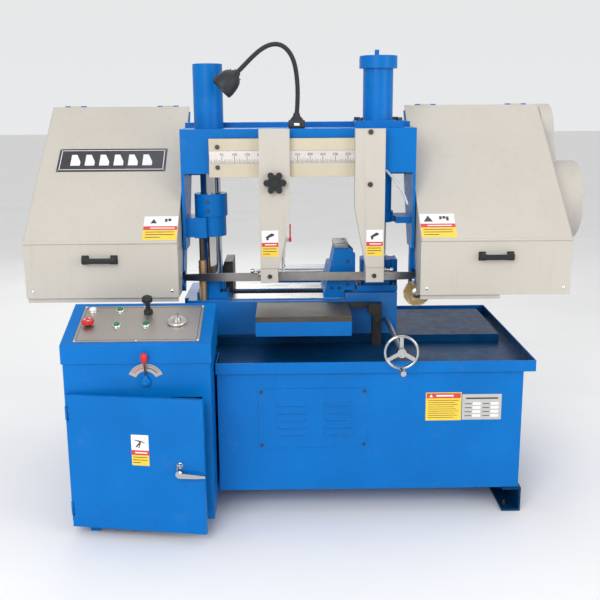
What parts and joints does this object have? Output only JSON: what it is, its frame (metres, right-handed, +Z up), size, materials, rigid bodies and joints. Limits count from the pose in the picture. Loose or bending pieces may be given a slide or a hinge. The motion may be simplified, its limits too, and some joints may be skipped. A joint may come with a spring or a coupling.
{
  "type": "horizontal band saw",
  "caption": "Double-column horizontal band saw with vise, chip tray, lifting saw head, two hinged wheel guards, gooseneck lamp and a free-standing operator console.",
  "frame": {"origin": "on the floor, under the middle of the machine's bounding box", "axes": "+X to the operator's right along the band, +Y away from the operator, +Z up"},
  "size_m": [2.32, 1.5326, 1.7879],
  "materials": {
    "blue_paint": "semi_gloss",
    "navy_paint": "semi_gloss",
    "grey_paint": "semi_gloss",
    "cream_paint": "satin",
    "chrome": "polished",
    "bright_steel": "brushed",
    "band_steel": "satin",
    "dark_steel": "oxidised",
    "table_iron": "machined",
    "bed_iron": "painted, machined ways",
    "bolt_steel": "black oxide",
    "bronze": "satin",
    "brass_wire": "brushed",
    "white_scale": "printed",
    "panel_aluminium": "satin",
    "motor_paint": "satin",
    "gearbox_paint": "satin",
    "pulley_iron": "machined",
    "belt_rubber": "matt",
    "black_plastic": "matt",
    "red_plastic": "gloss",
    "green_plastic": "gloss",
    "lamp_neck": "ribbed",
    "lamp_shell": "satin",
    "valve_body": "gloss",
    "dial_metal": "turned",
    "lever_metal": "polished"
  },
  "bodies": {
    "root": {"channel_feet": "navy_paint", "base_cabinet": "blue_paint", "vent_panel": "blue_paint", "base_fasteners": "bolt_steel", "chip_tray": "navy_paint", "bed_casting": "bed_iron", "fixed_jaw": "table_iron", "outfeed_table": "blue_paint", "outfeed_table_top": "table_iron", "infeed_frame": "navy_paint", "columns": "chrome", "column_bases": "gearbox_paint", "lift_cylinder_barrel": "bronze", "hydraulic_unit": "motor_paint", "control_cabinet": "blue_paint", "control_panel": "panel_aluminium"},
    "jaw": {"moving_jaw": "gearbox_paint"},
    "vise_screw": {"vise_screw": "bright_steel"},
    "crank": {"handwheel": "chrome", "handwheel_shaft": "bright_steel"},
    "roller": {"infeed_roller": "bright_steel"},
    "head": {"head_frame": "blue_paint", "left_column_sleeve": "blue_paint", "right_lift_cylinder": "blue_paint", "column_collars": "gearbox_paint", "head_bolts": "bolt_steel", "lift_cylinder_rod": "dark_steel", "guide_rail": "cream_paint", "ruler_scale": "white_scale", "right_guide_arm": "grey_paint", "band_blade": "band_steel", "wheel_boxes": "blue_paint", "worm_gearbox": "gearbox_paint", "drive_motor": "motor_paint", "v_belts": "belt_rubber", "belt_guard": "grey_paint", "lamp_gooseneck": "lamp_neck", "lamp_head": "lamp_shell"},
    "left_arm": {"left_guide_arm": "grey_paint", "coolant_valve": "valve_body"},
    "clamp_knob": {"star_knob": "black_plastic"},
    "valve_lever": {"coolant_valve_lever": "red_plastic"},
    "drive_wheel": {"drive_wheel": "pulley_iron"},
    "gearbox_pulley": {"gearbox_pulley": "pulley_iron"},
    "motor_pulley": {"motor_pulley": "pulley_iron"},
    "brush": {"wire_brush": "brass_wire"},
    "tension_slide": {"tension_slide": "dark_steel"},
    "tension_screw": {"tension_screw": "bright_steel"},
    "idler_wheel": {"idler_wheel": "pulley_iron"},
    "left_cover": {"left_guard_cover": "grey_paint"},
    "right_cover": {"right_guard_cover": "grey_paint"},
    "estop": {"estop_button": "red_plastic"},
    "selector": {"selector_knob": "black_plastic"},
    "dial": {"speed_dial": "dial_metal"},
    "lever": {"feed_lever": "lever_metal"},
    "door": {"cabinet_door": "blue_paint"},
    "door_handle": {"door_handle": "chrome"},
    "green_button_top": {"green_button_top": "green_plastic"},
    "green_button_left": {"green_button_left": "green_plastic"},
    "green_button_right": {"green_button_right": "green_plastic"}
  },
  "joints": [
    {"name": "head_lift", "type": "slide", "parent": "root", "child": "head", "axis": [0, 0, 1], "range_m": [-0.086, 0.268]},
    {"name": "jaw_slide", "type": "slide", "parent": "root", "child": "jaw", "axis": [1, 0, 0], "range_m": [-0.3, 0]},
    {"name": "vise_screw_turn", "type": "hinge", "parent": "root", "child": "vise_screw", "pos_m": [-0.058, 0.11827, 0.664], "axis": [1, 0, 0], "range_deg": [-5600, 10]},
    {"name": "crank_turn", "type": "hinge", "parent": "root", "child": "crank", "pos_m": [0.31, -0.49573, 0.664], "axis": [0, 1, 0], "range_deg": [-5600, 10]},
    {"name": "roller_spin", "type": "hinge", "parent": "root", "child": "roller", "pos_m": [-0.008, 0.72027, 0.72], "axis": [1, 0, 0], "continuous": true},
    {"name": "left_arm_slide", "type": "slide", "parent": "head", "child": "left_arm", "axis": [1, 0, 0], "range_m": [-0.12, 0.2]},
    {"name": "clamp_knob_turn", "type": "hinge", "parent": "left_arm", "child": "clamp_knob", "pos_m": [-0.149, -0.14573, 1.246], "axis": [0, 1, 0], "range_deg": [-180, 180]},
    {"name": "valve_lever_turn", "type": "hinge", "parent": "left_arm", "child": "valve_lever", "pos_m": [-0.12, -0.10223, 1.01], "axis": [1, 0, 0], "range_deg": [0, 90]},
    {"name": "drive_wheel_spin", "type": "hinge", "parent": "head", "child": "drive_wheel", "pos_m": [0.67, 0.0272, 1.06639], "axis": [0, -0.8829, 0.4695], "continuous": true},
    {"name": "gearbox_pulley_spin", "type": "hinge", "parent": "head", "child": "gearbox_pulley", "pos_m": [0.942, 0.25427, 1.125], "axis": [1, 0, 0], "continuous": true},
    {"name": "motor_pulley_spin", "type": "hinge", "parent": "head", "child": "motor_pulley", "pos_m": [0.942, 0.40927, 1.412], "axis": [1, 0, 0], "continuous": true},
    {"name": "brush_spin", "type": "hinge", "parent": "head", "child": "brush", "pos_m": [0.432, -0.05573, 0.78], "axis": [0, 1, 0], "continuous": true},
    {"name": "tension_slide_move", "type": "slide", "parent": "head", "child": "tension_slide", "axis": [1, 0, 0], "range_m": [0, 0.013]},
    {"name": "tension_screw_turn", "type": "hinge", "parent": "head", "child": "tension_screw", "pos_m": [-1.058, 0.10136, 1.02696], "axis": [1, 0, 0], "range_deg": [-10, 1180]},
    {"name": "idler_wheel_spin", "type": "hinge", "parent": "tension_slide", "child": "idler_wheel", "pos_m": [-0.786, 0.0272, 1.06639], "axis": [0, -0.8829, 0.4695], "continuous": true},
    {"name": "left_cover_lift", "type": "hinge", "parent": "head", "child": "left_cover", "pos_m": [-0.832, 0.37027, 1.533], "axis": [-1, 0, 0], "range_deg": [0, 60]},
    {"name": "right_cover_lift", "type": "hinge", "parent": "head", "child": "right_cover", "pos_m": [0.719, 0.37027, 1.533], "axis": [-1, 0, 0], "range_deg": [0, 60]},
    {"name": "estop_press", "type": "slide", "parent": "root", "child": "estop", "axis": [0, 0.3078, -0.9514], "range_m": [0, 0.005], "stiffness_N_per_m": 300},
    {"name": "green_button_top_press", "type": "slide", "parent": "root", "child": "green_button_top", "axis": [0, 0.3078, -0.9514], "range_m": [0, 0.004], "stiffness_N_per_m": 300},
    {"name": "green_button_left_press", "type": "slide", "parent": "root", "child": "green_button_left", "axis": [0, 0.3078, -0.9514], "range_m": [0, 0.004], "stiffness_N_per_m": 300},
    {"name": "green_button_right_press", "type": "slide", "parent": "root", "child": "green_button_right", "axis": [0, 0.3078, -0.9514], "range_m": [0, 0.004], "stiffness_N_per_m": 300},
    {"name": "selector_turn", "type": "hinge", "parent": "root", "child": "selector", "pos_m": [-0.623, -0.44412, 0.78987], "axis": [0, -0.3078, 0.9514], "range_deg": [-45, 45]},
    {"name": "dial_turn", "type": "hinge", "parent": "root", "child": "dial", "pos_m": [-0.509, -0.50882, 0.76894], "axis": [0, -0.3078, 0.9514], "range_deg": [-150, 150]},
    {"name": "lever_swing", "type": "hinge", "parent": "root", "child": "lever", "pos_m": [-0.61, -0.64173, 0.588], "axis": [0, 1, 0], "range_deg": [-35, 35]},
    {"name": "door_swing", "type": "hinge", "parent": "root", "child": "door", "pos_m": [-0.897, -0.65373, 0.3], "axis": [0, 0, 1], "range_deg": [-100, 9]},
    {"name": "door_handle_turn", "type": "hinge", "parent": "door", "child": "door_handle", "pos_m": [-0.48951, -0.72739, 0.272], "axis": [-0.1564, -0.9877, 0], "range_deg": [-90, 0]}
  ],
  "couplings": [
    {"joint": "vise_screw_turn", "follows": "jaw_slide", "rad_per_m": 314.16},
    {"joint": "crank_turn", "follows": "jaw_slide", "rad_per_m": 314.16},
    {"joint": "idler_wheel_spin", "follows": "drive_wheel_spin", "ratio": 1},
    {"joint": "gearbox_pulley_spin", "follows": "drive_wheel_spin", "ratio": 40},
    {"joint": "motor_pulley_spin", "follows": "drive_wheel_spin", "ratio": 80},
    {"joint": "brush_spin", "follows": "drive_wheel_spin", "ratio": -4},
    {"joint": "tension_screw_turn", "follows": "tension_slide_move", "rad_per_m": 1570.8}
  ]
}
